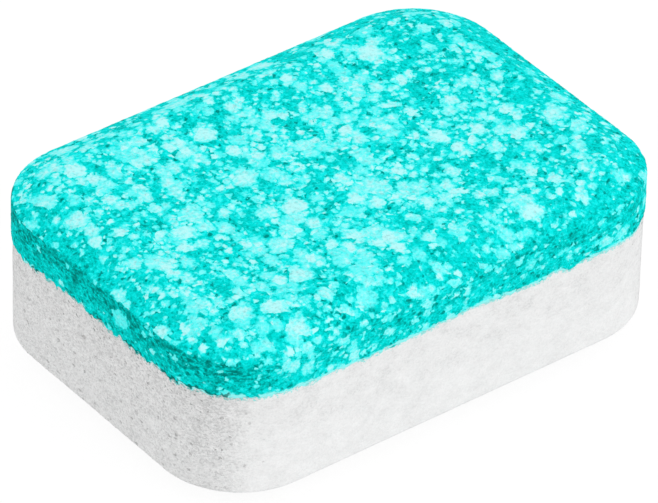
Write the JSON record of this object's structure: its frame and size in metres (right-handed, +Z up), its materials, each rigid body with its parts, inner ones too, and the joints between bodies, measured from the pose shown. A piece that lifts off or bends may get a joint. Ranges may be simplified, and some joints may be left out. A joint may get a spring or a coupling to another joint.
{
  "type": "dishwasher tablet",
  "caption": "Two-layer pressed dishwasher tablet: a rounded block with bevelled faces, white powder below and turquoise granulate above, for a machine's dosing chamber.",
  "frame": {"origin": "middle of the underside, on the surface that the tablet lies on", "axes": "+X along the tablet's length, +Y across its width, +Z up through the white layer into the turquoise one"},
  "size_m": [0.036, 0.0256, 0.0125],
  "materials": {
    "white_powder": "matte",
    "turquoise_granulate": "matte"
  },
  "bodies": {
    "root": {"lower_layer": "white_powder", "upper_layer": "turquoise_granulate"}
  },
  "joints": []
}
